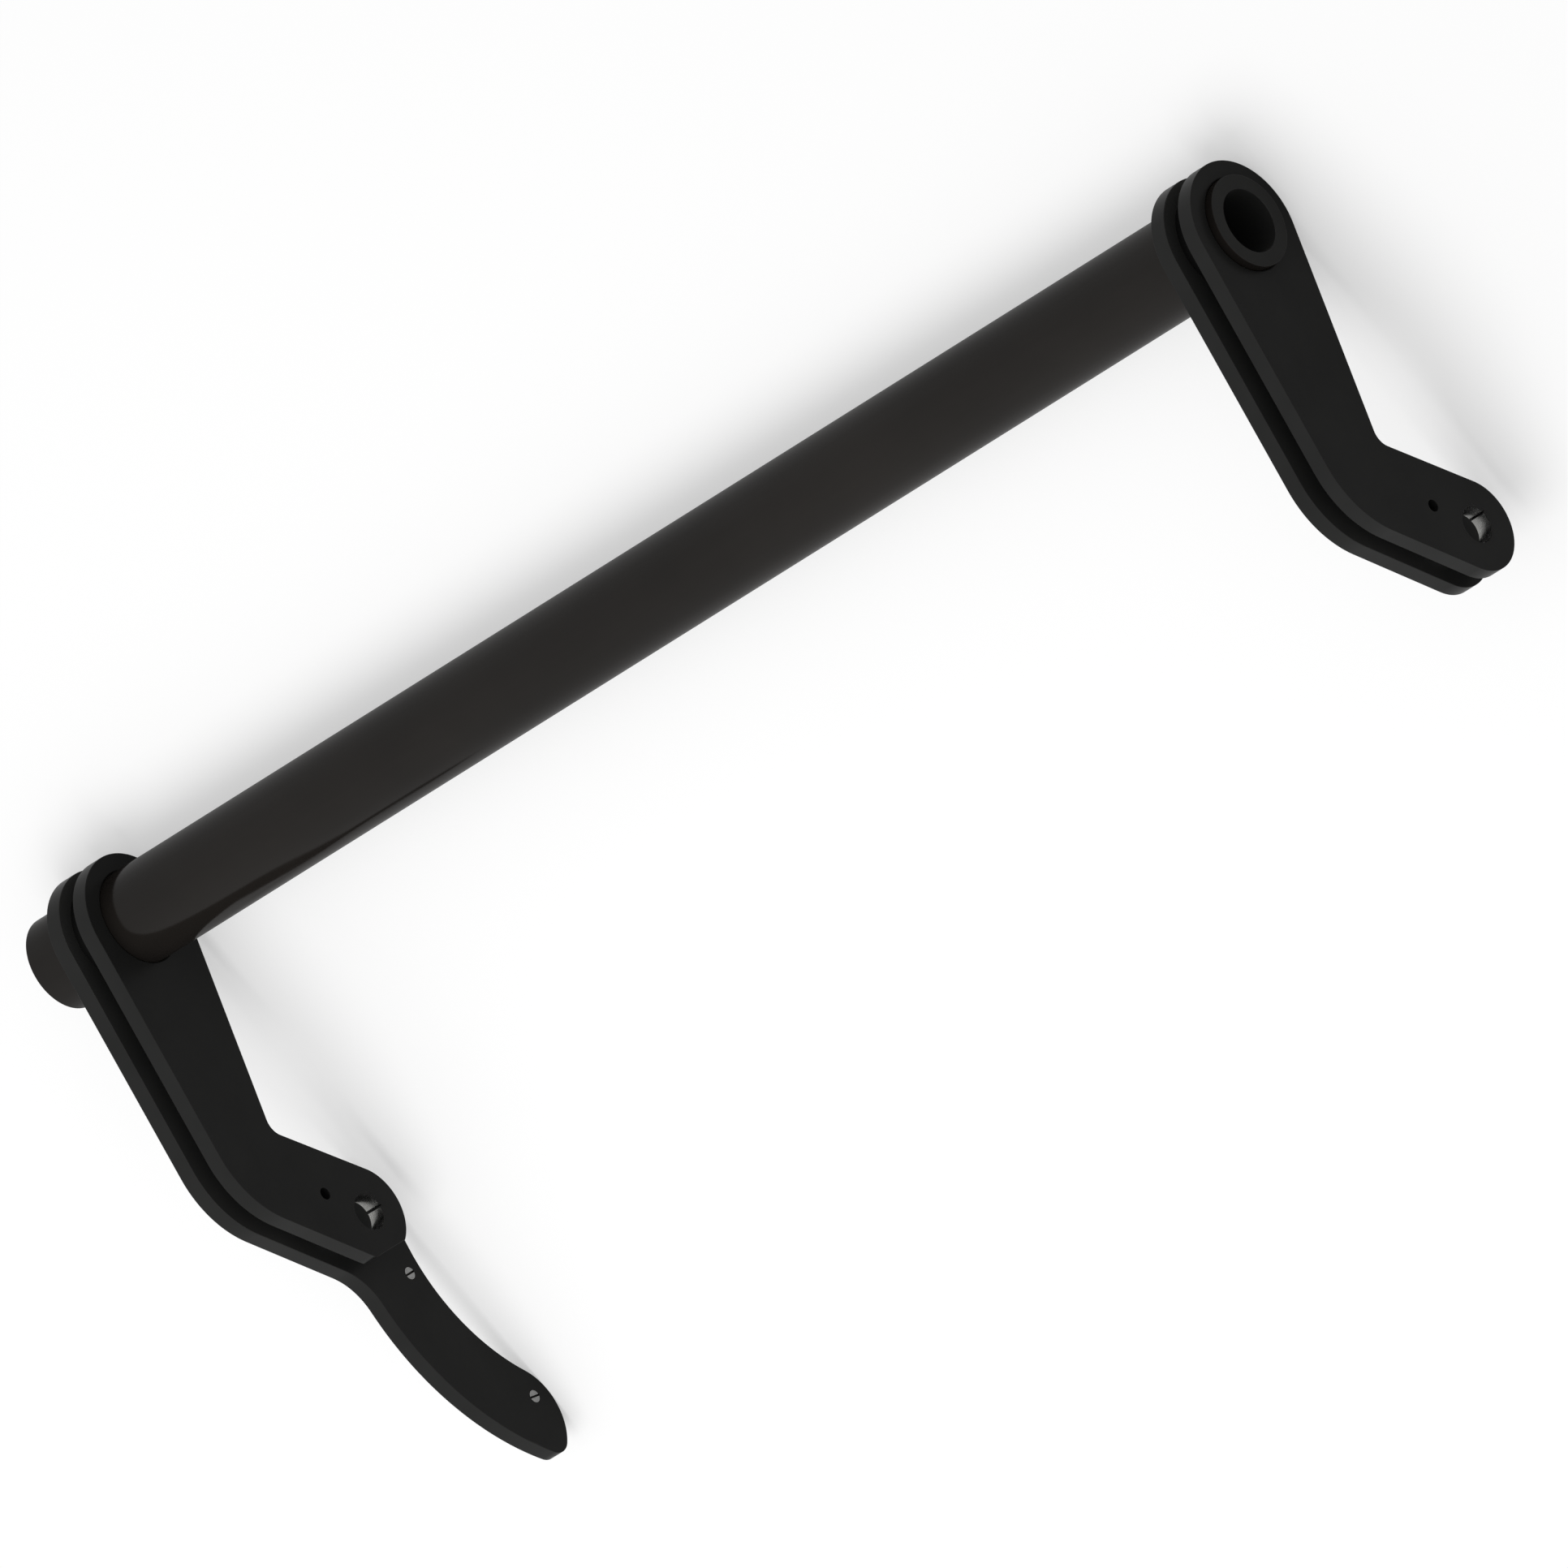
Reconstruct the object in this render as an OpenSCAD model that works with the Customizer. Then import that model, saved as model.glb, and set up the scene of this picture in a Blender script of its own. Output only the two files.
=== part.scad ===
// Sway bar: one straight hollow torsion tube with a cranked twin-plate arm near each end.
// +X runs along the tube towards the right arm, +Z is up and the arms reach towards -Y.
// The origin is on the tube's axis at half its length. The bar lies as it rests on a floor,
// on the two bosses and the tip of the left arm's blade.
// An arm is drawn flat, with x along the arm and y across it, then turned to its place.

/* [Tube] */
// Outside diameter of the torsion tube
tube_od = 50.8; // [45:0.1:56]
// Wall of the torsion tube
tube_wall = 7.9; // [4:0.1:12]
// Length of the tube that stands out beyond the right arm
right_stub = 4.6; // [1:0.1:60]
// Length of the tube that stands out beyond the left arm
left_stub = 28; // [2:0.1:80]
// Chamfer on the edges of the tube's ends
tube_chamfer = 0.4; // [0.2:0.1:1.5]

/* [Arms] */
// Distance from one arm to the same face of the other arm
arm_spacing = 838.5; // [500:0.5:1200]
// Thickness of each arm plate
plate_t = 9.5; // [5:0.1:14]
// Gap between the two plates of an arm
plate_gap = 10.6; // [6:0.1:20]
// Diameter of the boss round the tube
boss_d = 73.6; // [70:0.1:90]
// Distance from the tube's axis to the boss's centre, along the arm
boss_shift = 1.6; // [0:0.1:3]
// Distance from the tube's axis to the link eye, along the arm
eye_reach = 189.1; // [160:0.1:260]
// Distance from the tube's axis to the link eye, across the arm
eye_offset = 33; // [10:0.1:60]
// Diameter of the rounded end round the link eye
eye_end_d = 50.8; // [40:0.1:60]
// Lean of the arm's outer edge away from its length
outer_lean = 4.1; // [0:0.05:8]
// Lean of the arm's inner edge towards the outer edge
inner_lean = 16.8; // [12:0.1:20]
// Angle of the arm's toe to its length
crank_angle = 48.5; // [40:0.5:60]
// Angle by which the toe widens towards the link eye
toe_taper = 1.3; // [0:0.1:3]
// Radius of the outside of the bend
bend_r = 54; // [20:0.5:60]
// Radius of the fillet in the inside of the bend
crook_r = 9.4; // [3:0.1:20]
// Wall of the spacer ring round the tube, between the plates
spacer_wall = 2.5; // [1.5:0.1:7]
// Chamfer on the edges of the plates' tube holes
boss_chamfer = 0.8; // [0.2:0.1:1.5]

/* [Link eye] */
// Bore of the split bushes in the link eye
bush_id = 20; // [10:0.1:26]
// Wall of the split bushes
bush_wall = 1.5; // [0.8:0.1:3]
// Width of the slit in each bush
bush_slit = 0.8; // [0.4:0.1:2]
// Angle of the slit on the left arm
left_slit_angle = 90; // [0:1:359]
// Angle of the slit on the right arm
right_slit_angle = 112; // [0:1:359]
// Diameter of the lock hole behind the link eye
lock_hole_d = 6.6; // [3:0.1:10]
// Distance from the link eye back to the lock hole
lock_hole_back = 29.6; // [20:0.1:45]

/* [Blade] */
// Radius of the blade's inner edge
blade_r = 107.5; // [90:0.5:140]
// Width of the blade
blade_w = 41.5; // [35:0.5:50]
// Distance from the link eye to the centre of the blade's curve, along the arm
blade_centre_x = 37.4; // [25:0.1:50]
// Distance from the link eye to the centre of the blade's curve, across the arm
blade_centre_y = 144; // [130:0.1:175]
// Direction of the blade's root seen from the centre of its curve
root_angle = -104; // [-110:0.5:-98]
// Angle that the blade sweeps from its root to its tip
blade_sweep = 56.6; // [45:0.1:80]
// Radius of the blade's tip
tip_r = 30.3; // [26:0.1:40]
// Radius of the corner where the tip meets the outer edge
tip_corner_r = 10; // [4:0.5:14]
// Radius of the fillet between the toe and the blade
root_fillet_r = 35; // [15:0.5:50]
// Distance from the link eye to the flat end of the left inner plate
trim_reach = 21.6; // [17:0.1:24]

/* [Backing strap] */
// Width of the strap behind the blade
strap_w = 13; // [11:0.5:16]
// Thickness of the strap behind the blade
strap_t = 3; // [2:0.1:5]
// Angle along the blade from its root to the root screw
root_screw_angle = 14; // [12:0.5:20]
// Angle along the blade from its root to the tip screw
tip_screw_angle = 60; // [50:0.5:64]
// Distance from the blade's inner edge to the root screw
root_screw_inset = 9.5; // [8:0.1:18]
// Distance from the blade's inner edge to the tip screw
tip_screw_inset = 12.8; // [8:0.1:18]

/* [Screws] */
// Diameter of the screws' shanks
screw_d = 4; // [3:0.1:5]
// Diameter of the screws' countersunk heads
screw_head_d = 7; // [6:0.1:9]
// Height of the screws' countersunk heads
screw_head_h = 2.2; // [1.5:0.1:3]
// Width of the slot in the heads
slot_w = 1.1; // [0.6:0.1:1.5]
// Depth of the slot in the heads
slot_h = 0.9; // [0.4:0.1:1.2]
// Angle of the root screw's slot
root_slot_angle = 90; // [0:1:180]
// Angle of the tip screw's slot
tip_slot_angle = 83; // [0:1:180]
// Distance that a shank stands out of its nut
screw_proud = 1.5; // [0.5:0.1:4]
// Outside diameter of the washers
washer_od = 9; // [8.5:0.1:12]
// Thickness of the washers
washer_t = 0.8; // [0.5:0.1:1.5]
// Width across the flats of the nuts
nut_af = 7; // [6:0.1:8]
// Height of the nuts
nut_h = 3.2; // [2:0.1:5]

/* [Fits] */
// Radial clearance between the tube and what turns on it
running_fit = 0.08; // [0.03:0.01:0.1]
// Radial clearance round the screws
screw_fit = 0.15; // [0.05:0.01:0.3]

/* [Hidden] */
$fn = 96;
eps = 0.05;
// Lines and circles that touch are drawn to cross by this little, so that the solids stay clean.
tuck = 0.005;

satin_black = [0.13, 0.13, 0.125];
bare_steel = [0.62, 0.62, 0.6];
dull_steel = [0.4, 0.4, 0.39];

tube_r = tube_od / 2;
boss_r = boss_d / 2;
eye_r = eye_end_d / 2;
bush_r = bush_id / 2 + bush_wall;
arm_w = 2 * plate_t + plate_gap;
arm_bore_r = tube_r + running_fit;
tube_l = left_stub + arm_spacing + arm_w + right_stub;

// Places along X: each is the left face of its plate.
right_outer_x = tube_l / 2 - right_stub - plate_t;
right_inner_x = right_outer_x - plate_gap - plate_t;
left_inner_x = right_outer_x - arm_spacing;
left_outer_x = right_inner_x - arm_spacing;

function dir(angle) = [cos(angle), sin(angle)];

// The point where two lines meet, each given by a point on it and its angle.
function meet(p, p_angle, q, q_angle) =
    p + dir(p_angle) * cross(q - p, dir(q_angle)) / cross(dir(p_angle), dir(q_angle));

// Places on the flat arm.
eye = [eye_reach, eye_offset];
boss = [boss_shift, 0];
outer_start = boss + (boss_r - tuck) * dir(-outer_lean - 90);
inner_start = boss + (boss_r - tuck) * dir(90 - inner_lean);
toe_outer = eye + (eye_r - tuck) * dir(crank_angle - 90);
toe_inner_angle = crank_angle + toe_taper;
toe_inner = eye + (eye_r - tuck) * dir(toe_inner_angle + 90);
elbow = meet(outer_start, -outer_lean, toe_outer, crank_angle);
elbow_centre = meet(outer_start + bend_r * dir(90 - outer_lean), -outer_lean,
    toe_outer + bend_r * dir(crank_angle + 90), crank_angle);
crook_centre = meet(inner_start + crook_r * dir(90 - inner_lean), -inner_lean,
    toe_inner + crook_r * dir(toe_inner_angle + 90), toe_inner_angle);
lock_hole = eye - lock_hole_back * dir(crank_angle);

// Places on the blade, which curves round one centre.
blade_outer_r = blade_r + blade_w;
curve_centre = eye + [blade_centre_x, blade_centre_y];
tip_angle = root_angle + blade_sweep;
root_centre = curve_centre + (blade_r + blade_w / 2) * dir(root_angle);
tip_centre = curve_centre + (blade_r + tip_r) * dir(tip_angle);
root_hole = curve_centre + (blade_r + root_screw_inset) * dir(root_angle + root_screw_angle);
tip_hole = curve_centre + (blade_r + tip_screw_inset) * dir(root_angle + tip_screw_angle);

// The strap's middle line is an arc through both screw holes.
strap_mid_r = blade_r + (root_screw_inset + tip_screw_inset) / 2;
hole_span = tip_hole - root_hole;
strap_centre = (root_hole + tip_hole) / 2 + sqrt(pow(strap_mid_r, 2) - pow(norm(hole_span) / 2, 2))
    * dir(atan2(hole_span.y, hole_span.x) + 90);
strap_from = atan2(root_hole.y - strap_centre.y, root_hole.x - strap_centre.x);
strap_to = atan2(tip_hole.y - strap_centre.y, tip_hole.x - strap_centre.x);

// The fillet circle touches the eye's round end and the blade's outer edge.
fillet_span = curve_centre - eye;
fillet_near = eye_r + root_fillet_r;
fillet_far = blade_outer_r + root_fillet_r;
fillet_x = (fillet_near * fillet_near - fillet_far * fillet_far + fillet_span * fillet_span)
    / (2 * norm(fillet_span));
fillet_y = sqrt(fillet_near * fillet_near - fillet_x * fillet_x);
fillet_heading = atan2(fillet_span.y, fillet_span.x);
fillet_centre = eye + fillet_x * dir(fillet_heading) + fillet_y * dir(fillet_heading - 90);
fillet_foot = curve_centre + (fillet_centre - curve_centre) * (blade_r + blade_w / 2) / fillet_far;

// The corner circle lies inside the tip circle and the blade's outer edge and touches both.
corner_far = blade_outer_r - tip_corner_r;
corner_near = tip_r - tip_corner_r;
corner_span = blade_r + tip_r;
corner_x = (corner_far * corner_far - corner_near * corner_near + corner_span * corner_span)
    / (2 * corner_span);
corner_y = sqrt(corner_far * corner_far - corner_x * corner_x);
corner_centre = curve_centre + corner_x * dir(tip_angle) + corner_y * dir(tip_angle + 90);
corner_out = atan2(corner_centre.y - curve_centre.y, corner_centre.x - curve_centre.x);
corner_in = atan2(corner_centre.y - tip_centre.y, corner_centre.x - tip_centre.x);

// The arms are turned until the boss and the blade's tip touch the same floor.
rest_span = tip_centre - boss;
lay_angle = atan2(rest_span.y, rest_span.x) + asin((tip_r - boss_r) / norm(rest_span));

// Turns what is drawn on the flat arm to its place, at x along the tube.
module on_arm(x) translate([x, 0, 0]) rotate([90, 0, 90]) rotate(180 - lay_angle) children();

// A wedge from a point, between two angles less than 180 apart.
module wedge(p, from, to, reach) polygon([
    p, p + reach * dir(from), p + 1.5 * reach * dir((from + to) / 2), p + reach * dir(to)]);

// The strip between two circles that the straight lines touching both bound.
module strip(p, p_r, q, q_r) {
    heading = atan2(q.y - p.y, q.x - p.x);
    open = acos((p_r - q_r) / norm(q - p));
    polygon([p + p_r * dir(heading + open), p + p_r * dir(heading - open),
        q + q_r * dir(heading - open), q + q_r * dir(heading + open)]);
}

module arm_outline() difference() {
    union() {
        translate(boss) circle(boss_r);
        translate(eye) circle(eye_r);
        polygon([boss, outer_start, elbow, toe_outer, eye, toe_inner,
            crook_centre - crook_r * dir(toe_inner_angle + 90), crook_centre,
            crook_centre - crook_r * dir(90 - inner_lean), inner_start]);
    }
    difference() {
        wedge(elbow_centre, -outer_lean - 90, crank_angle - 90, 1.5 * bend_r);
        translate(elbow_centre) circle(bend_r + tuck);
    }
    translate(crook_centre) circle(crook_r + tuck);
}

module blade_outline() difference() {
    union() {
        intersection() {
            difference() {
                translate(curve_centre) circle(blade_outer_r);
                translate(curve_centre) circle(blade_r);
            }
            wedge(curve_centre, root_angle, tip_angle, 1.5 * blade_outer_r);
        }
        intersection() {
            translate(curve_centre) circle(blade_outer_r);
            translate(tip_centre) circle(tip_r + tuck);
        }
        translate(root_centre) circle(blade_w / 2 + tuck);
        strip(eye, eye_r - tuck, root_centre, blade_w / 2 - tuck);
        polygon([eye, fillet_centre, fillet_foot, root_centre]);
    }
    difference() {
        wedge(corner_centre, corner_out, corner_in, 4 * tip_corner_r);
        translate(corner_centre) circle(tip_corner_r + 2 * tuck);
    }
    translate(fillet_centre) circle(root_fillet_r + tuck);
}

module arm_holes() {
    translate(eye) circle(bush_r);
    translate(lock_hole) circle(lock_hole_d / 2);
}

// Cuts the tube's hole through a plate, with both its edges chamfered.
module boss_hole() {
    translate([0, 0, -1]) cylinder(r = arm_bore_r, h = plate_t + 2);
    translate([0, 0, -eps])
        cylinder(r1 = arm_bore_r + boss_chamfer + eps, r2 = arm_bore_r, h = boss_chamfer + eps);
    translate([0, 0, plate_t - boss_chamfer])
        cylinder(r1 = arm_bore_r, r2 = arm_bore_r + boss_chamfer + eps, h = boss_chamfer + eps);
}

module arm_plate(x) color(satin_black) on_arm(x) difference() {
    linear_extrude(plate_t) difference() {
        arm_outline();
        arm_holes();
    }
    boss_hole();
}

module spacer(x) color(satin_black) on_arm(x) linear_extrude(plate_gap) difference() {
    circle(arm_bore_r + spacer_wall);
    circle(arm_bore_r);
}

module bush(x, slit_angle) color(bare_steel) on_arm(x) linear_extrude(plate_t)
    translate(eye) difference() {
        circle(bush_r);
        circle(bush_id / 2);
        rotate(slit_angle) translate([0, -bush_slit / 2]) square([2 * bush_r, bush_slit]);
    }

// One screw hole through the blade, with its countersink in the face towards +X.
module screw_hole(p) translate(p) {
    translate([0, 0, -1]) cylinder(r = screw_d / 2 + screw_fit, h = plate_t + 2);
    translate([0, 0, plate_t - screw_head_h - screw_fit])
        cylinder(d1 = screw_d, d2 = screw_head_d + 2 * screw_fit, h = screw_head_h + screw_fit + eps);
}

// What lies on the back of the blade, from a distance behind that back.
module behind_blade(p, back) on_arm(left_outer_x - back) translate(p) children();

module screw(p, slot_angle) color(bare_steel) {
    tail = strap_t + washer_t + nut_h + screw_proud;
    shank_l = tail + plate_t - screw_head_h;
    behind_blade(p, tail) difference() {
        union() {
            cylinder(d = screw_d, h = shank_l);
            translate([0, 0, shank_l]) cylinder(d1 = screw_d, d2 = screw_head_d, h = screw_head_h);
        }
        translate([0, 0, shank_l + screw_head_h - slot_h / 2 + eps]) rotate(slot_angle)
            cube([2 * screw_head_d, slot_w, slot_h + 2 * eps], center = true);
    }
}

module washer(p) color(dull_steel) behind_blade(p, strap_t + washer_t) difference() {
    cylinder(d = washer_od, h = washer_t);
    translate([0, 0, -1]) cylinder(r = screw_d / 2 + screw_fit, h = washer_t + 2);
}

module nut(p) color(dull_steel) behind_blade(p, strap_t + washer_t + nut_h) difference() {
    cylinder(d = nut_af / cos(30), h = nut_h, $fn = 6);
    translate([0, 0, -1]) cylinder(d = screw_d, h = nut_h + 2);
}

module torsion_tube() color(satin_black) rotate([0, 90, 0]) translate([0, 0, -tube_l / 2])
    rotate_extrude() polygon([
        [tube_r - tube_wall, tube_chamfer], [tube_r - tube_wall + tube_chamfer, 0],
        [tube_r - tube_chamfer, 0], [tube_r, tube_chamfer],
        [tube_r, tube_l - tube_chamfer], [tube_r - tube_chamfer, tube_l],
        [tube_r - tube_wall + tube_chamfer, tube_l], [tube_r - tube_wall, tube_l - tube_chamfer]]);

module left_outer_plate() color(satin_black) on_arm(left_outer_x) difference() {
    linear_extrude(plate_t) difference() {
        union() {
            arm_outline();
            blade_outline();
        }
        arm_holes();
    }
    boss_hole();
    screw_hole(root_hole);
    screw_hole(tip_hole);
}

module left_inner_plate() color(satin_black) difference() {
    arm_plate(left_inner_x);
    on_arm(left_inner_x) translate([eye_reach + trim_reach, eye_offset - 2 * eye_r, -1])
        cube([2 * eye_r, 4 * eye_r, plate_t + 2]);
}

module right_inner_plate() arm_plate(right_inner_x);
module right_outer_plate() arm_plate(right_outer_x);
module left_spacer() spacer(left_outer_x + plate_t);
module right_spacer() spacer(right_inner_x + plate_t);
module left_outer_bush() bush(left_outer_x, left_slit_angle);
module left_inner_bush() bush(left_inner_x, left_slit_angle);
module right_inner_bush() bush(right_inner_x, right_slit_angle);
module right_outer_bush() bush(right_outer_x, right_slit_angle);

module backing_strap() color(dull_steel) on_arm(left_outer_x - strap_t)
    linear_extrude(strap_t) difference() {
        union() {
            intersection() {
                difference() {
                    translate(strap_centre) circle(strap_mid_r + strap_w / 2 - tuck);
                    translate(strap_centre) circle(strap_mid_r - strap_w / 2 + tuck);
                }
                wedge(strap_centre, strap_from, strap_to, 1.5 * blade_outer_r);
            }
            translate(root_hole) circle(strap_w / 2);
            translate(tip_hole) circle(strap_w / 2);
        }
        translate(root_hole) circle(screw_d / 2 + screw_fit);
        translate(tip_hole) circle(screw_d / 2 + screw_fit);
    }

module root_screw() screw(root_hole, root_slot_angle);
module tip_screw() screw(tip_hole, tip_slot_angle);
module root_washer() washer(root_hole);
module tip_washer() washer(tip_hole);
module root_nut() nut(root_hole);
module tip_nut() nut(tip_hole);

torsion_tube();
left_outer_plate();
left_inner_plate();
right_inner_plate();
right_outer_plate();
left_spacer();
right_spacer();
left_outer_bush();
left_inner_bush();
right_inner_bush();
right_outer_bush();
backing_strap();
root_screw();
tip_screw();
root_washer();
tip_washer();
root_nut();
tip_nut();
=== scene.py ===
"""A straight hollow torsion tube with a twin-plate arm near each end, lying on a pale floor."""
from math import acos, asin, atan2, cos, degrees, hypot, pi, radians, sin, sqrt

import bmesh
import bpy
from mathutils import Matrix, Vector


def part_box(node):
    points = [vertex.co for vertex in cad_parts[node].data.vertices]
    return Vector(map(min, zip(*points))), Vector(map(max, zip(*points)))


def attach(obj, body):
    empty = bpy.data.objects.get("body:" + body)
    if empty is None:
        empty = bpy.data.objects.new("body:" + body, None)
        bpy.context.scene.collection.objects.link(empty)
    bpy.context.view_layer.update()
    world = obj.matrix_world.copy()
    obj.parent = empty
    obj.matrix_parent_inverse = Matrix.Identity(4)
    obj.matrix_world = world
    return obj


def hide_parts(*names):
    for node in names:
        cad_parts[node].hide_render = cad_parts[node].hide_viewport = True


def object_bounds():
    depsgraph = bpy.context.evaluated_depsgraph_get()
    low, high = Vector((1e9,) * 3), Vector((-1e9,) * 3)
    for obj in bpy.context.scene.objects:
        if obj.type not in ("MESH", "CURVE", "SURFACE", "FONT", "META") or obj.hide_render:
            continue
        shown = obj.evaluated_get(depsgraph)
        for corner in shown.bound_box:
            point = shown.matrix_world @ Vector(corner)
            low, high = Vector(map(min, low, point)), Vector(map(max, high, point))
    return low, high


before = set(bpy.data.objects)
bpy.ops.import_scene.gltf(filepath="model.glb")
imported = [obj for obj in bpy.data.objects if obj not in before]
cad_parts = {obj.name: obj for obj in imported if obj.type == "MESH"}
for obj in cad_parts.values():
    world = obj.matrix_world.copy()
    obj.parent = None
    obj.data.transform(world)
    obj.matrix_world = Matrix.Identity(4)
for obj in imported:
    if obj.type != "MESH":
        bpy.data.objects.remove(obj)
cad_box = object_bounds()
MM = 0.001

# ---------------------------------------------------------------- the part's sizes, in mm and degrees
BOSS_R, BOSS_SHIFT = 36.8, 1.6
EYE, EYE_R = Vector((189.1, 33.0)), 25.4
OUTER_LEAN, INNER_LEAN, CRANK, TOE_TAPER = 4.1, 16.8, 48.5, 1.3
BEND_R, CROOK_R = 54.0, 9.4
BUSH_ID, BUSH_WALL, BUSH_SLIT = 20.0, 1.5, 0.8
SLIT_LEFT, SLIT_RIGHT = 90.0, 112.0
LOCK_D, LOCK_BACK = 6.6, 29.6
BLADE_R, BLADE_W = 107.5, 41.5
CURVE = EYE + Vector((37.4, 144.0))
ROOT_ANGLE, SWEEP = -104.0, 56.6
TIP_R, TIP_CORNER_R, FILLET_R = 30.3, 10.0, 35.0
TRIM_REACH = 21.6
# Each screw's angle along the blade from its root, and its distance from the blade's inner edge.
ROOT_SCREW, TIP_SCREW = (14.0, 9.5), (60.0, 12.8)
SCREW_D, SCREW_FIT = 4.0, 0.15
SCREW_HEAD_D, SCREW_HEAD_H = 7.0, 2.2
SLOT_W, SLOT_H = 1.1, 0.9
ROOT_SLOT, TIP_SLOT = 90.0, 83.0
TUBE_R, TUBE_WALL, RUN = 25.4, 7.9, 0.08
SPACER_WALL = 2.5

# How far each edge is rounded, and the chamfer at the screws' tails.
RIM, BOSS_RIM, EYE_RIM, LOCK_RIM = 0.3, 0.8, 0.08, 0.25
SCREW_RIM, BUSH_RIM, TUBE_RIM = 0.1, 0.1, 0.4
HEAD_SOFT, TAIL_IN, TAIL_UP = 0.12, 0.4, 0.5

# Steps between the points of an arc, in degrees.
ARC_STEP, TUBE_HOLE_STEP, SMALL_HOLE_STEP, BLADE_STEP = 3.0, 2.25, 7.5, 1.2


def turn(angle):
    return Vector((cos(radians(angle)), sin(radians(angle))))


def heading(v):
    return degrees(atan2(v.y, v.x))


def meet(p, p_angle, q, q_angle):
    """The point where two lines meet, each given by a point on it and its angle."""
    u, v = turn(p_angle), turn(q_angle)
    return p + u * ((q - p).cross(v) / u.cross(v))


def two_circles(p, p_reach, q, q_reach, side):
    """The point at p_reach from p and q_reach from q, on one side of the line between them."""
    gap = (q - p).length
    along = (p_reach ** 2 - q_reach ** 2 + gap ** 2) / (2 * gap)
    across = sqrt(p_reach ** 2 - along ** 2)
    return p + along * turn(heading(q - p)) + across * turn(heading(q - p) + side * 90)


# ---------------------------------------------------------------- places on the flat arm
AXIS = Vector((0.0, 0.0))
BOSS = Vector((BOSS_SHIFT, 0.0))
TIP_ANGLE = ROOT_ANGLE + SWEEP
BLADE_OUT = BLADE_R + BLADE_W
TOE_IN = CRANK + TOE_TAPER
OUTER_START = BOSS + BOSS_R * turn(-OUTER_LEAN - 90)
INNER_START = BOSS + BOSS_R * turn(90 - INNER_LEAN)
TOE_OUTER = EYE + EYE_R * turn(CRANK - 90)
TOE_INNER = EYE + EYE_R * turn(TOE_IN + 90)
# The bend's and the crook's centres lie their own radius away from the two edges that they join.
ELBOW = meet(OUTER_START + BEND_R * turn(90 - OUTER_LEAN), -OUTER_LEAN,
             TOE_OUTER + BEND_R * turn(CRANK + 90), CRANK)
CROOK = meet(INNER_START + CROOK_R * turn(90 - INNER_LEAN), -INNER_LEAN,
             TOE_INNER + CROOK_R * turn(TOE_IN + 90), TOE_IN)
LOCK = EYE - LOCK_BACK * turn(CRANK)
ROOT = CURVE + (BLADE_R + BLADE_W / 2) * turn(ROOT_ANGLE)
TIP = CURVE + (BLADE_R + TIP_R) * turn(TIP_ANGLE)
SCREWS = [CURVE + (BLADE_R + inset) * turn(ROOT_ANGLE + angle) for angle, inset in (ROOT_SCREW, TIP_SCREW)]
FILLET = two_circles(EYE, EYE_R + FILLET_R, CURVE, BLADE_OUT + FILLET_R, -1)
CORNER = two_circles(CURVE, BLADE_OUT - TIP_CORNER_R, TIP, TIP_R - TIP_CORNER_R, 1)
SHORT_END = EYE.x + TRIM_REACH

# The boss and the blade's tip rest on the same floor.
REST = TIP - BOSS
LAY = heading(REST) + degrees(asin((TIP_R - BOSS_R) / REST.length))


def on_arm(x):
    """Turns what is drawn on the flat arm, in mm, to its place at x metres along the tube."""
    c, s = cos(radians(LAY)) * MM, sin(radians(LAY)) * MM
    return Matrix(((0, 0, MM, x), (-c, -s, 0, 0), (s, -c, 0, 0), (0, 0, 0, 1)))


# ---------------------------------------------------------------- mesh helpers
SAME_PLACE = 0.02  # mm; points closer than this are one
SQUARE_EDGE = 1.2  # radians; the edge between a broad face and a wall turns by more
WALL_CORNER = radians(14)
CREASE = radians(35)
BORDER_SHARES = 0.4, 0.6


def arc(centre, r, start, end, step=ARC_STEP):
    """Points along an arc; a circle's arc bends the other way where end is less than start."""
    n = max(2, int(abs(end - start) / step) + 1)
    return [centre + r * turn(start + (end - start) * i / n) for i in range(n + 1)]


def ring(centre, r, step=ARC_STEP):
    return arc(centre, r, 0, 360, step)


def clean(points):
    """Leaves out each point that lies on the one before it."""
    kept = []
    for p in points:
        if not kept or (p - kept[-1]).length > SAME_PLACE:
            kept.append(p)
    if (kept[0] - kept[-1]).length < SAME_PLACE:
        kept.pop()
    return kept


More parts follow.
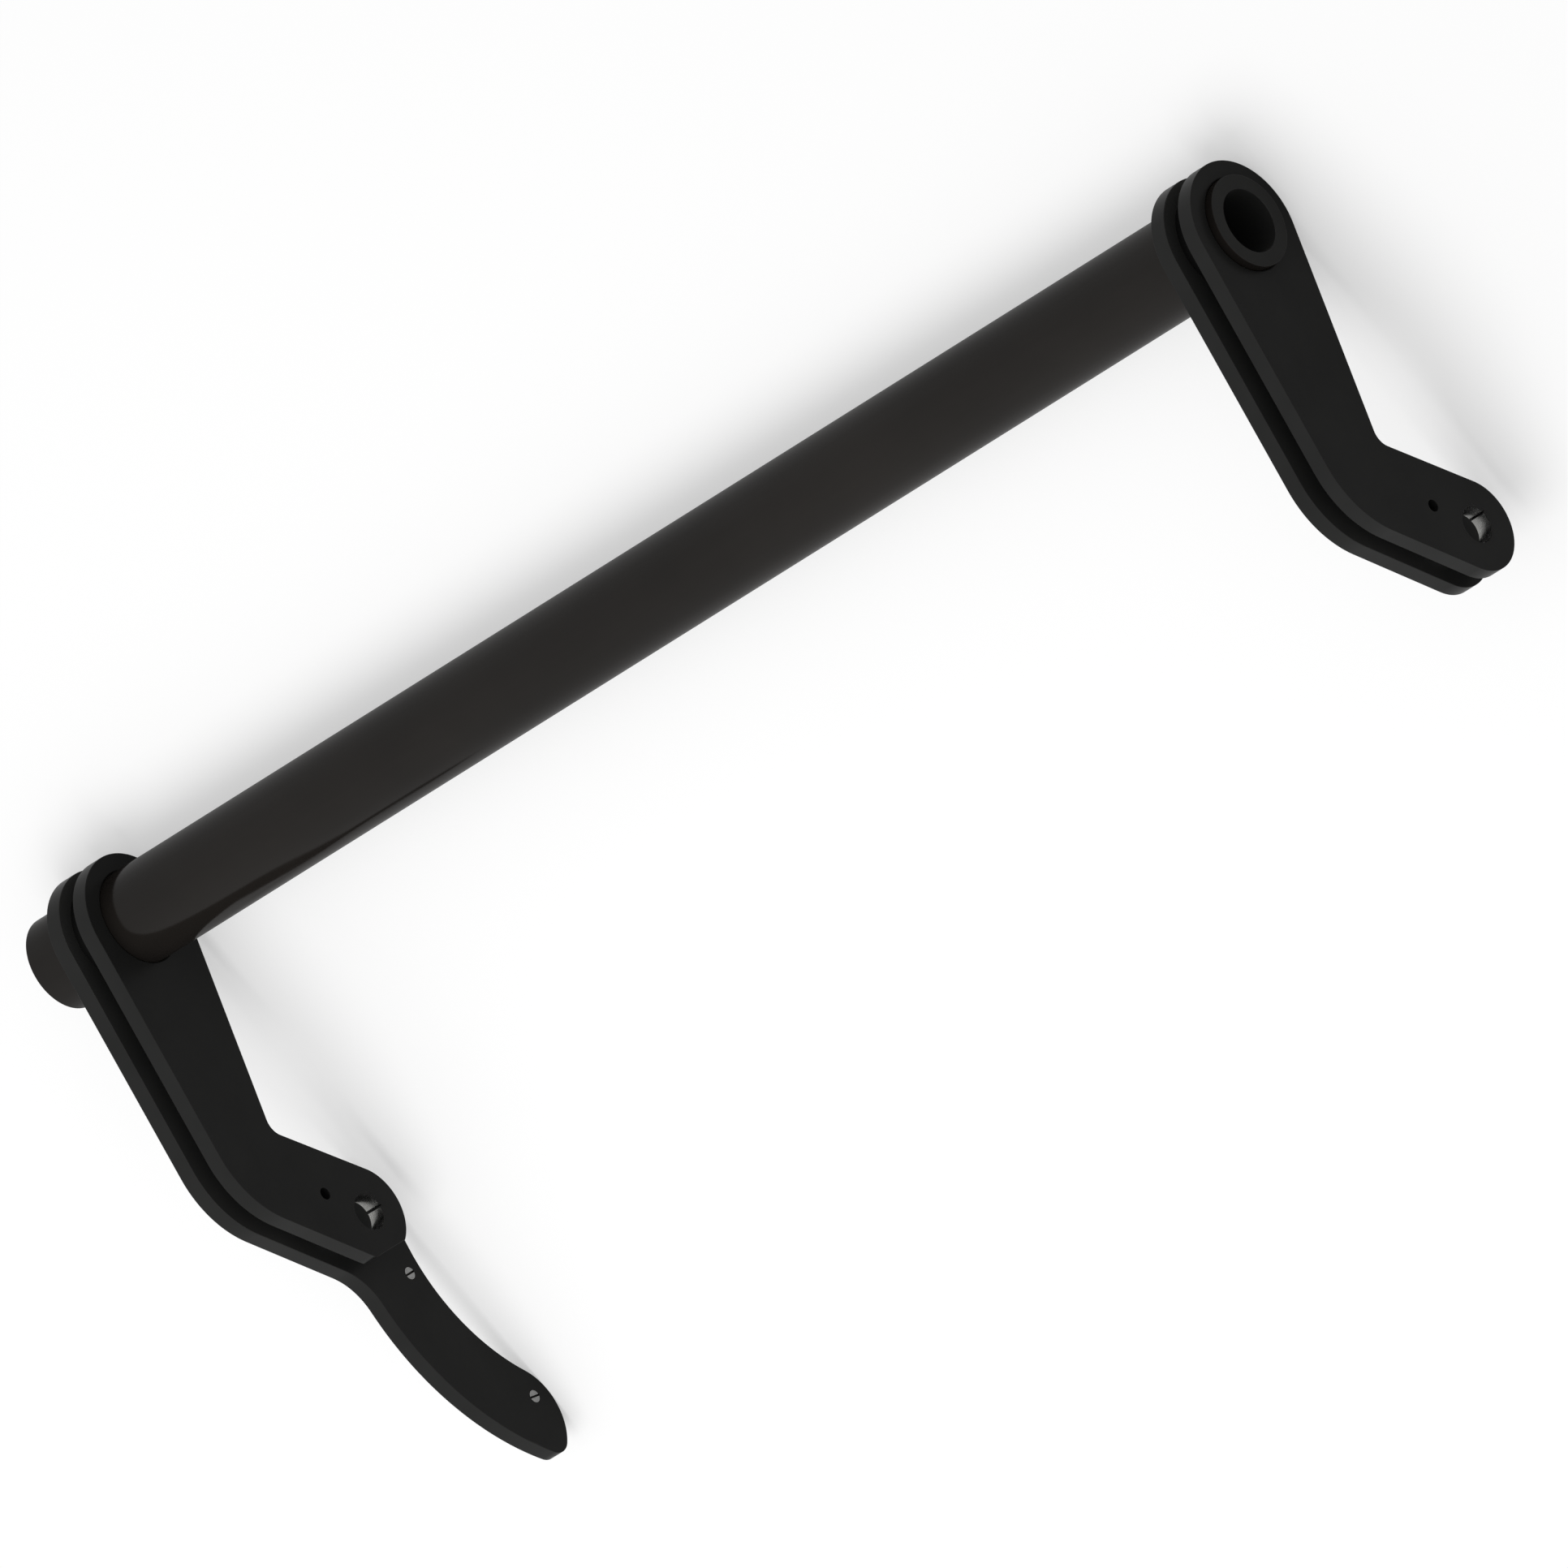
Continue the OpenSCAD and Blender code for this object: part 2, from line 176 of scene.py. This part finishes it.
def slab(loops, depth, rims, border=0.8):
    """A flat slab, in mm: its outline, then its holes. rims gives each loop's edge rounding."""
    bm = bmesh.new()
    edges, owner = [], {}
    for k, points in enumerate(loops):
        verts = [bm.verts.new((p.x, p.y, 0)) for p in clean(points)]
        edges += [bm.edges.new((verts[i - 1], verts[i])) for i in range(len(verts))]
        owner.update({(round(v.co.x, 4), round(v.co.y, 4)): k for v in verts})
    bmesh.ops.triangle_fill(bm, use_beauty=True, use_dissolve=False, edges=edges)
    grown = bmesh.ops.extrude_face_region(bm, geom=bm.faces[:])["geom"]
    top = [g for g in grown if isinstance(g, bmesh.types.BMVert)]
    bmesh.ops.translate(bm, verts=top, vec=(0, 0, depth))
    bmesh.ops.recalc_face_normals(bm, faces=bm.faces)
    rim_edges = {}
    for e in bm.edges:
        v, w = e.verts[0].co, e.verts[1].co
        if e.calc_face_angle(0) > SQUARE_EDGE and abs(v.z - w.z) < 0.01:
            rim_edges.setdefault(rims[owner[round(v.x, 4), round(v.y, 4)]], []).append(e)
    for f in bm.faces:
        f.smooth = abs(f.normal.z) < 0.5
    for width, picked in rim_edges.items():
        made = bmesh.ops.bevel(
            bm, geom=picked, offset=width, segments=3, profile=0.5, affect="EDGES", material=-1)
        for f in made["faces"]:
            f.smooth = True
    # Narrow borders along each rim keep the lighter edges, partly wear and partly painted highlight, on the
    # edges alone.
    for share in BORDER_SHARES:
        broad = [f for f in bm.faces if abs(f.normal.z) > 0.999 and len(f.verts) == 3]
        bmesh.ops.inset_region(bm, faces=broad, thickness=share * border, use_even_offset=True)
    # Where two straight walls meet, the corner between them stays crisp.
    for e in bm.edges:
        upright = abs(e.verts[0].co.z - e.verts[1].co.z) > 0.5 * depth
        if upright and e.calc_face_angle(0) > WALL_CORNER:
            e.smooth = False
    return bm


def lathe(profile, steps=160):
    """Spins a closed profile of (along, radius) points, in mm, round the X axis."""
    bm = bmesh.new()
    verts = [bm.verts.new((x, 0, r)) for x, r in profile]
    edges = [bm.edges.new((verts[i - 1], verts[i])) for i in range(len(verts))]
    bmesh.ops.spin(
        bm, geom=verts + edges, cent=(0, 0, 0), axis=(1, 0, 0), dvec=(0, 0, 0), angle=2 * pi, steps=steps,
        use_merge=True)
    for f in bm.faces:
        f.smooth = True
    for e in bm.edges:
        e.smooth = e.calc_face_angle(0) < CREASE
    return bm


def link(name, data):
    ob = bpy.data.objects.new(name, data)
    bpy.context.collection.objects.link(ob)
    return ob


def finish_piece(bm, name, matrix, materials, body, nodes, pick=None):
    """Makes an object of a mesh in its place, which stands for CAD nodes and rides on a body."""
    bm.transform(matrix)
    bm.normal_update()
    bmesh.ops.recalc_face_normals(bm, faces=bm.faces)
    bm.normal_update()
    if pick:
        for f in bm.faces:
            f.material_index = pick(f)
    mesh = bpy.data.meshes.new(name)
    bm.to_mesh(mesh)
    bm.free()
    piece = link(name, mesh)
    for m in materials:
        mesh.materials.append(m)
    # Broad faces keep their own direction right up to their rounded rims.
    steady = piece.modifiers.new("steady", "WEIGHTED_NORMAL")
    steady.mode, steady.weight, steady.keep_sharp = "FACE_AREA", 50, True
    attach(piece, body)
    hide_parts(*nodes)


# ---------------------------------------------------------------- material helpers
class Value:
    """A shader value; arithmetic on it adds Math nodes."""

    def __init__(self, tree, out):
        self.tree, self.out = tree, out

    def node(self, kind, out=0, inputs=(), **settings):
        return add(self.tree, kind, out, inputs, **settings)

    def math(self, operation, *others, clamp=False):
        return self.node("Math", 0, enumerate((self,) + others), operation=operation, use_clamp=clamp)

    def __add__(self, other):
        return self.math("ADD", other)

    def __sub__(self, other):
        return self.math("SUBTRACT", other)

    def __rsub__(self, other):
        return self.math("MULTIPLY", -1.0) + other

    def __mul__(self, other):
        return self.math("MULTIPLY", other)

    __radd__, __rmul__ = __add__, __mul__

    def scaled(self, from_low, from_high, low, high):
        """Takes one range of values to another, and stops at its ends."""
        return self.node("MapRange", 0, {
            "Value": self, "From Min": from_low, "From Max": from_high, "To Min": low, "To Max": high})

    def blend(self, low, high):
        """A colour between low and high, by this value."""
        low, high = (c if isinstance(c, Value) else (*c, 1) for c in (low, high))
        return self.node("Mix", 2, {0: self, 6: low, 7: high}, data_type="RGBA")


def plug(tree, socket, value):
    if isinstance(value, Value):
        tree.links.new(value.out, socket)
    else:
        socket.default_value = value


def add(tree, kind, out=0, inputs=(), **settings):
    """Adds any node, sets its settings and then its inputs, and returns one of its outputs."""
    n = tree.nodes.new("ShaderNode" + kind)
    for key, value in settings.items():
        setattr(n, key, value)
    for key, value in dict(inputs).items():
        plug(tree, n.inputs[key], value)
    return Value(tree, n.outputs[out])


def material(name):
    m = bpy.data.materials.new(name)
    m.use_nodes = True
    shader = m.node_tree.nodes["Principled BSDF"]
    place = add(m.node_tree, "TexCoord", "Object")
    return m, m.node_tree, shader, place


def noise(place, scale, detail=3.0, stretch=(1, 1, 1)):
    """Noise of a scale in cells per metre, stretched along the axes."""
    where = place.node("Mapping", inputs={"Vector": place, "Scale": stretch})
    return place.node("TexNoise", 0, {"Vector": where, "Scale": scale, "Detail": detail, "Roughness": 0.55})


def spread(value, low, high):
    """Stretches noise round its middle to run from low to high."""
    return value.scaled(NOISE_LOW, NOISE_HIGH, low, high)


def relief(place, layers):
    """Bump from layers of (height, depth in mm)."""
    normal = None
    for height, depth in layers:
        inputs = {"Height": height, "Strength": 1.0, "Distance": depth * MM}
        if normal:
            inputs["Normal"] = normal
        normal = place.node("Bump", inputs=inputs)
    return normal


# ---------------------------------------------------------------- finishes
# Sizes of the patterns in the black coats, in cells per metre, and the depths of their relief, in mm.
DRIFT, MARKS, PEEL, GRAIN, DUST = 9, 34, 900, 2600, 5200
PEEL_DEPTH, GRAIN_DEPTH = 0.006, 0.002
# The same for the steels.
TOOL_MARKS, STAIN, SCREW_STAIN, RINGS = 900, 160, 500, 4200.0
MARK_DEPTH, RING_DEPTH = 0.004, 0.01
# How bent an edge is where its lighter tone starts and where it is most, how much that is, and its tone:
# partly rubbed-through coat, partly a painted highlight along convex edges.
RUB_FROM, RUB_FULL, RUB_MOST, RUB_AND_HIGHLIGHT_TONE = 0.52, 0.62, 0.3, (0.05, 0.05, 0.048)
FILM_ROUGHNESS, FILM_IOR = 0.13, 1.5
# Most of the noise lies between these; a high power leaves only its brightest specks as dust.
NOISE_LOW, NOISE_HIGH, DUST_POWER = 0.3, 0.7, 7.0
EVEN = (1, 1, 1)
# Along an arm, the painted fill light on the plates' faces in the gap, lighter tones that stand in for light
# reaching between the plates, holds to GAP_FULL and fades to nothing where the short plate ends.
ARM_WAY = tuple((on_arm(0).to_3x3() @ Vector((1, 0, 0))).normalized())
GAP_FADE = 32.0
GAP_FULL = SHORT_END - GAP_FADE


def coat(name, deep, worn, gloss=0.3, shine=0.03, film=0.0, streak=EVEN, fill_light_tones=None):
    """Black powder coat: a fine orange-peel surface, a slow drift of tone, faint dust and lighter edges,
    which are partly rubbed coat and partly a painted highlight.

    Where film is more than nothing, a thin glossy skin lies over it, a little patchy in its gloss.
    Where tones for the gap are given, these lighter tones take over where the plates of an arm face each
    other: painted fill light in the gap between the plates.
    """
    m, tree, shader, place = material(name)
    if fill_light_tones:
        along = place.node("VectorMath", 1, {0: place, 1: ARM_WAY}, operation="DOT_PRODUCT")
        # How much of the painted fill light each point on the plates gets, by its place along the arm.
        painted_fill_mask = along.scaled(GAP_FULL * MM, SHORT_END * MM, 1.0, 0.0)
        deep, worn = (painted_fill_mask.blend(bare, kept) for bare, kept in zip((deep, worn), fill_light_tones))
    drift = noise(place, DRIFT, 4)
    peel = noise(place, PEEL, 2)
    grain = noise(place, GRAIN, 2)
    marks = noise(place, MARKS, 5, streak)
    dust = spread(noise(place, DUST, 1), 0, 1).math("POWER", DUST_POWER)
    # Convex edges turn lighter: partly rubbed coat, partly a painted highlight.
    rub_and_highlight = add(tree, "NewGeometry", "Pointiness").scaled(RUB_FROM, RUB_FULL, 0.0, RUB_MOST)
    wear = spread(drift, 0.0, 0.55) + spread(marks, 0.0, 0.3) + dust * 0.25
    tone = wear.math("MULTIPLY", 1.0, clamp=True).blend(deep, worn)
    plug(tree, shader.inputs["Base Color"], rub_and_highlight.blend(tone, RUB_AND_HIGHLIGHT_TONE))
    dullness = spread(drift, gloss - 0.04, gloss + 0.03) + spread(grain, -0.02, 0.03)
    plug(tree, shader.inputs["Roughness"], dullness)
    plug(tree, shader.inputs["Normal"], relief(place, [(peel, PEEL_DEPTH), (grain, GRAIN_DEPTH)]))
    shader.inputs["Specular IOR Level"].default_value = shine
    if film:
        patchy = spread(marks, film * 0.94, film * 1.06) - dust * 0.05 - rub_and_highlight * 0.1
        plug(tree, shader.inputs["Coat Weight"], patchy)
        shader.inputs["Coat Roughness"].default_value = FILM_ROUGHNESS
        shader.inputs["Coat IOR"].default_value = FILM_IOR
    return m


def steel(name, low, high, rough, stretch=EVEN):
    """Bare or plated steel with fine tool marks."""
    m, tree, shader, place = material(name)
    marks = noise(place, TOOL_MARKS, 3, stretch)
    stain = noise(place, STAIN, 4)
    tone = spread(marks, 0, 0.5) + spread(stain, 0, 0.5)
    dullness = spread(marks, rough - 0.06, rough + 0.06) + spread(stain, -0.03, 0.05)
    plug(tree, shader.inputs["Base Color"], tone.blend(low, high))
    plug(tree, shader.inputs["Roughness"], dullness)
    plug(tree, shader.inputs["Normal"], relief(place, [(marks, MARK_DEPTH)]))
    shader.inputs["Metallic"].default_value = 1.0
    return m


def turned_steel(name, centre):
    """Plated steel with the rings that turning leaves round a screw's centre."""
    m, tree, shader, place = material(name)
    off = place.node("VectorMath", inputs={0: place, 1: centre}, operation="SUBTRACT")
    flat = place.node("VectorMath", inputs={0: off, 1: (0, 1, 1)}, operation="MULTIPLY")
    radius = place.node("VectorMath", 1, {0: flat}, operation="LENGTH")
    rings = place.node("TexNoise", 0, {
        "W": RINGS * radius, "Scale": 1.0, "Detail": 2.0}, noise_dimensions="1D")
    stain = noise(place, SCREW_STAIN, 3)
    tone = spread(rings, 0, 0.4) + spread(stain, 0, 0.6)
    plug(tree, shader.inputs["Base Color"], tone.blend((0.15, 0.15, 0.147), (0.28, 0.28, 0.275)))
    plug(tree, shader.inputs["Roughness"], spread(rings, 0.26, 0.36) + spread(stain, -0.02, 0.06))
    plug(tree, shader.inputs["Normal"], relief(place, [(rings, RING_DEPTH)]))
    shader.inputs["Metallic"].default_value = 1.0
    return m


PLATE_TONES = (0.015, 0.015, 0.0145), (0.025, 0.025, 0.024)
# Lighter tones for the plates' faces in the gap: painted fill light, standing in for light that reaches
# between the plates.
GAP_FILL_LIGHT_TONES = (0.029, 0.029, 0.028), (0.048, 0.048, 0.046)
plate_black = coat("plate_black", *PLATE_TONES)
gap_painted_fill = coat("gap_painted_fill", *PLATE_TONES, fill_light_tones=GAP_FILL_LIGHT_TONES)
edge_black = coat("edge_black", (0.0085, 0.0087, 0.0082), (0.0155, 0.0157, 0.015), shine=0.0, film=0.3)
tube_black = coat(
    "tube_black", (0.0096, 0.0083, 0.0073), (0.0174, 0.015, 0.0132),
    shine=0.0, film=0.28, streak=(0.08, 1, 1))
end_black = coat("end_black", (0.0198, 0.0198, 0.019), (0.0325, 0.0325, 0.031))
bore_black = coat(
    "bore_black", (0.009, 0.009, 0.0088), (0.02, 0.02, 0.019),
    gloss=0.5, shine=0.3, streak=(0.2, 1, 1))
# The spacers are made near black as painted shade, so that they sink into the dark gap between the plates.
spacer_black = coat("spacer_black", (0.004, 0.004, 0.004), (0.008, 0.008, 0.0077), gloss=0.5, shine=0.02)
# The walls and floor of the screws' slots are painted dark as shade in the slot.
slot_painted_shade = coat("slot_painted_shade", (0.004, 0.004, 0.004), (0.02, 0.018, 0.015), gloss=0.6, shine=0.05)
bore_steel = steel("bore_steel", (0.44, 0.44, 0.43), (0.58, 0.58, 0.57), 0.2, (6, 0.6, 0.6))
dull_steel = steel("dull_steel", (0.2, 0.2, 0.195), (0.36, 0.36, 0.355), 0.42)

# ---------------------------------------------------------------- the arms' plates
x_of = {n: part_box(n)[0].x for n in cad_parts}
deep_of = {n: (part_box(n)[1].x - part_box(n)[0].x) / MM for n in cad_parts}
gap_middle = [sum(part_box(side + "_spacer"), Vector()).x / 2 for side in ("left", "right")]

arm_start = (
    arc(BOSS, BOSS_R, 90 - INNER_LEAN, 270 - OUTER_LEAN)
    + arc(ELBOW, BEND_R, -OUTER_LEAN - 90, CRANK - 90)
)
arm_end = arc(CROOK, CROOK_R, TOE_IN - 90, -90 - INNER_LEAN)
arm_loop = arm_start + arc(EYE, EYE_R, CRANK - 90, TOE_IN + 90) + arm_end

# The blade's inner side starts from a straight line that touches the eye's and the root's round ends.
span = ROOT - EYE
strip_side = heading(span) + degrees(acos((EYE_R - BLADE_W / 2) / span.length))
corner_in = meet(EYE + EYE_R * turn(strip_side), strip_side - 90, TOE_INNER, TOE_IN)
blade_loop = (
    arm_start
    + arc(FILLET, FILLET_R, heading(EYE - FILLET), heading(CURVE - FILLET))
    + arc(CURVE, BLADE_OUT, heading(FILLET - CURVE), heading(CORNER - CURVE), BLADE_STEP)
    + arc(CORNER, TIP_CORNER_R, heading(CORNER - CURVE), heading(CORNER - TIP))
    + arc(TIP, TIP_R, heading(CORNER - TIP), TIP_ANGLE + 180)
    + arc(CURVE, BLADE_R, TIP_ANGLE, ROOT_ANGLE, BLADE_STEP)
    + arc(ROOT, BLADE_W / 2, ROOT_ANGLE + 180, strip_side)
    + [corner_in]
    + arm_end
)

# The short plate's round end is cut straight across.
cut_angle = degrees(acos(TRIM_REACH / EYE_R))
short_loop = (
    arm_start
    + arc(EYE, EYE_R, CRANK - 90, -cut_angle)
    + arc(EYE, EYE_R, cut_angle, TOE_IN + 90)
    + arm_end
)


def plate_side(f):
    """Picks the finish of a plate's outer face, its wall or its face in the gap between the plates, which
    carries painted fill light.
    """
    at = f.calc_center_median()
    if abs(f.normal.x) < 0.7:
        return 1
    return 2 if f.normal.x * (gap_middle[at.x > 0] - at.x) > 0 else 0


def make_plate(node, outline, screw_holes=()):
    tube_hole = ring(AXIS, TUBE_R + RUN, TUBE_HOLE_STEP)
    eye_hole = ring(EYE, BUSH_ID / 2 + BUSH_WALL)
    lock_hole = ring(LOCK, LOCK_D / 2, SMALL_HOLE_STEP)
    loops = [outline, tube_hole, eye_hole, lock_hole, *screw_holes]
    rims = [RIM, BOSS_RIM, EYE_RIM, LOCK_RIM] + [SCREW_RIM] * len(screw_holes)
    body = node.split("_")[0] + "_arm"
    finish_piece(
        slab(loops, deep_of[node], rims), node.replace("plate", "arm_plate"), on_arm(x_of[node]),
        [plate_black, edge_black, gap_painted_fill], body, [node], plate_side)


blade_holes = [ring(p, SCREW_HEAD_D / 2 + SCREW_FIT, SMALL_HOLE_STEP) for p in SCREWS]
make_plate("left_outer_plate", blade_loop, blade_holes)
make_plate("left_inner_plate", short_loop)
make_plate("right_inner_plate", arm_loop)
make_plate("right_outer_plate", arm_loop)

# ---------------------------------------------------------------- spacer rings between the plates
for side in ("left", "right"):
    node = side + "_spacer"
    loops = [ring(AXIS, TUBE_R + RUN + SPACER_WALL), ring(AXIS, TUBE_R + RUN, TUBE_HOLE_STEP)]
    # Their near-black finish is painted shade in the gap.
    finish_piece(
        slab(loops, deep_of[node], [RIM, RIM]), side + "_collar", on_arm(x_of[node]),
        [spacer_black], side + "_arm", [node])

# ---------------------------------------------------------------- split bushes in the link eyes
eye_centre = on_arm(0) @ Vector((*EYE, 0))


def bush_side(f):
    """Picks bare steel for the bore, which looks straight at the eye's centre, and black for the rest."""
    away = f.calc_center_median() - eye_centre
    away.x = 0
    return int(f.normal.dot(away.normalized()) > -0.98)


for node in ("left_outer_bush", "left_inner_bush", "right_inner_bush", "right_outer_bush"):
    side = node.split("_")[0]
    slit = SLIT_LEFT if side == "left" else SLIT_RIGHT
    outer, inner = BUSH_ID / 2 + BUSH_WALL, BUSH_ID / 2
    half_out, half_in = (degrees(asin(BUSH_SLIT / 2 / r)) for r in (outer, inner))
    loop = (
        arc(EYE, outer, slit + half_out, slit + 360 - half_out)
        + arc(EYE, inner, slit + 360 - half_in, slit + half_in)
    )
    finish_piece(
        slab([loop], deep_of[node], [BUSH_RIM], border=0.3), node, on_arm(x_of[node]),
        [bore_steel, plate_black], side + "_arm", [node], bush_side)

# ---------------------------------------------------------------- torsion tube
lo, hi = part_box("torsion_tube")
half = (hi.x - lo.x) / 2 / MM
bore = TUBE_R - TUBE_WALL


def lip(x, r, sign_x, sign_r, steps=4):
    """A small rounding at the tube's end, from its end face to its wall."""
    out, away = sign_x * TUBE_RIM, sign_r * TUBE_RIM
    angles = [t * pi / 2 / steps for t in range(steps + 1)]
    return [(x - out + out * cos(a), r - away + away * sin(a)) for a in angles]


def tube_side(f):
    """Picks the finish of an end face, the outside or the bore."""
    at = f.calc_center_median()
    if abs(f.normal.x) > 0.7:
        return 0
    return 1 if hypot(at.y, at.z) > (bore + TUBE_WALL / 2) * MM else 2


profile = (
    lip(half, TUBE_R, 1, 1) + lip(-half, TUBE_R, -1, 1)[::-1]
    + lip(-half, bore, -1, -1) + lip(half, bore, 1, -1)[::-1]
)
finish_piece(
    lathe(profile), "drawn_tube", Matrix.Scale(MM, 4),
    [end_black, tube_black, bore_black], "tube", ["torsion_tube"], tube_side)


# ---------------------------------------------------------------- screws, strap, washers and nuts
def screw_mesh(length, slot_angle):
    """A countersunk screw along Z, with its head's flat top at the given length and a slot across it."""
    r, shank = SCREW_HEAD_D / 2, SCREW_D / 2
    outline = [
        (0, 0),
        (shank - TAIL_IN, 0),
        (shank, TAIL_UP),
        (shank, length - SCREW_HEAD_H),
        (r - HEAD_SOFT, length - HEAD_SOFT * 1.2),
        (r - HEAD_SOFT * 0.9, length - HEAD_SOFT * 0.3),
        (r - HEAD_SOFT * 1.6, length),
        (0, length),
    ]
    bm = bmesh.new()
    verts = [bm.verts.new((x, 0, z)) for x, z in outline]
    edges = [bm.edges.new(pair) for pair in zip(verts, verts[1:])]
    bmesh.ops.spin(
        bm, geom=verts + edges, cent=(0, 0, 0), axis=(0, 0, 1), dvec=(0, 0, 0), angle=2 * pi, steps=48,
        use_merge=True)
    bmesh.ops.remove_doubles(bm, verts=bm.verts, dist=0.001)

    # The slot's two walls and its floor are cut, what stands between them goes, and it is closed again.
    way = turn(slot_angle + 90)
    side = Vector((way.x, way.y, 0))
    floor_h = length - SLOT_H
    walls = [(sign * side * SLOT_W / 2, side) for sign in (1, -1)]
    for at, normal in walls + [(Vector((0, 0, floor_h)), Vector((0, 0, 1)))]:
        whole = bm.verts[:] + bm.edges[:] + bm.faces[:]
        bmesh.ops.bisect_plane(bm, geom=whole, dist=1e-4, plane_co=at, plane_no=normal)
    near = 1e-3
    centres = {f: f.calc_center_median() for f in bm.faces}
    cut = [f for f, c in centres.items() if abs(c.dot(side)) < SLOT_W / 2 - near and c.z > floor_h + near]
    bmesh.ops.delete(bm, geom=cut, context="FACES")
    rim = {v for e in bm.edges if e.is_boundary for v in e.verts}
    low = [v for v in rim if abs(v.co.z - floor_h) < near]
    for sign in (1, -1):
        ends = [v for v in low if abs(v.co.dot(side) - sign * SLOT_W / 2) < near]
        ends.sort(key=lambda v: v.co.cross(side).z)
        bm.edges.new((ends[0], ends[-1]))
    open_edges = [e for e in bm.edges if e.is_boundary or e.is_wire]
    made = bmesh.ops.holes_fill(bm, edges=open_edges, sides=0)["faces"]
    # The faces that close the slot, its walls and floor, take the second finish: painted shade in the slot.
    for f in bm.faces:
        f.smooth = abs(f.normal.z) < 0.9 and f not in made
        f.material_index = int(f in made)
    for e in bm.edges:
        e.smooth = e.calc_face_angle(0) < CREASE
    return bm


for node, place, slot_angle in zip(("root_screw", "tip_screw"), SCREWS, (ROOT_SLOT, TIP_SLOT)):
    centre = on_arm(0) @ Vector((*place, 0))
    plating = turned_steel(node + "_plating", (0, centre.y, centre.z))
    finish_piece(
        screw_mesh(deep_of[node], slot_angle), node + "_piece",
        on_arm(x_of[node]) @ Matrix.Translation((*place, 0)),
        [plating, slot_painted_shade], "left_arm", [node])
for node in ("backing_strap", "root_washer", "tip_washer", "root_nut", "tip_nut"):
    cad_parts[node].material_slots[0].material = dull_steel

# ---------------------------------------------------------------- floor
FLOOR_HALF = 30.0  # metres
FLOOR_TONE = (0.55, 0.55, 0.55, 1)
# The floor's own glow rises with the distance from the part, in metres, and meets the white background.
GLOW_NEAR, GLOW_FAR, GLOW_LOW, GLOW_HIGH = 1.0, 6.0, 0.46, 0.67


def seen_directly(tree):
    """1 for what is seen by itself, in a gloss or through a clear thing, and 0 for what only gives light."""
    glossy, clear = (add(tree, "LightPath", name) for name in ("Is Glossy Ray", "Is Transmission Ray"))
    return add(tree, "LightPath", "Is Camera Ray").math("MAXIMUM", glossy).math("MAXIMUM", clear)


bm = bmesh.new()
bmesh.ops.create_grid(bm, x_segments=1, y_segments=1, size=FLOOR_HALF)
bmesh.ops.translate(bm, verts=bm.verts, vec=(0, 0, cad_box[0].z))
floor_mesh = bpy.data.meshes.new("floor")
bm.to_mesh(floor_mesh)
bm.free()
floor = link("floor", floor_mesh)
floor_white, tree, shader, place = material("floor_white")
tree.nodes.remove(shader)
far = place.node("VectorMath", 1, {0: place}, operation="LENGTH")
lift = far.scaled(GLOW_NEAR, GLOW_FAR, GLOW_LOW, GLOW_HIGH)
pale = add(tree, "BsdfDiffuse", inputs={"Color": FLOOR_TONE})
glow = add(tree, "Emission", inputs={"Strength": seen_directly(tree) * lift})
both = add(tree, "AddShader", inputs={0: pale, 1: glow})
tree.links.new(both.out, tree.nodes["Material Output"].inputs[0])
floor_mesh.materials.append(floor_white)

# ---------------------------------------------------------------- light
# The sky gives most light from above, and is plain white where it is seen.
SKY_TOP, SKY_LEVEL = 0.9, 0.02
LAMP_PLACE, LAMP_SIZE, LAMP_POWER = Vector((-0.6, -1.1, 3.2)), 2.6, 54

world = bpy.data.worlds.new("world")
bpy.context.scene.world = world
world.use_nodes = True
tree = world.node_tree
height = add(tree, "SeparateXYZ", "Z", {0: add(tree, "TexCoord", "Generated")}).math("MAXIMUM", 0.0)
dome = SKY_TOP * height + SKY_LEVEL
seen = seen_directly(tree)
plug(tree, tree.nodes["Background"].inputs["Color"], (1, 1, 1, 1))
plug(tree, tree.nodes["Background"].inputs["Strength"], seen + dome - seen * dome)

lamp_data = bpy.data.lights.new("top_light", "AREA")
lamp_data.shape, lamp_data.size, lamp_data.energy = "DISK", LAMP_SIZE, LAMP_POWER
lamp = link("top_light", lamp_data)
lamp.location = LAMP_PLACE
lamp.rotation_mode = "QUATERNION"
lamp.rotation_quaternion = (-LAMP_PLACE).to_track_quat("-Z", "Y")
lamp.visible_glossy = False

# ---------------------------------------------------------------- camera
# The view is nearly parallel: a far camera with a long lens. It is VIEW_W metres wide at the tube's middle.
VIEW_W, FAR, SENSOR = 0.78985, 36.0, 36.0
VIEW_RIGHT, VIEW_UP = 0.06658, -0.0954
right = Vector((0.66465, -0.62664, -0.40690)).normalized()
back = right.cross(Vector((0.41373, 0.76216, -0.49793))).normalized()
up = back.cross(right)
camera_data = bpy.data.cameras.new("camera")
camera_data.sensor_width = SENSOR
camera_data.lens = SENSOR * FAR / VIEW_W
camera_data.clip_start, camera_data.clip_end = 1.0, 100.0
camera = link("camera", camera_data)
camera.rotation_mode = "QUATERNION"
camera.rotation_quaternion = Matrix((right, up, back)).transposed().to_quaternion()
camera.location = VIEW_RIGHT * right + VIEW_UP * up + FAR * back
bpy.context.scene.camera = camera
bpy.context.scene.view_settings.view_transform = "Standard"
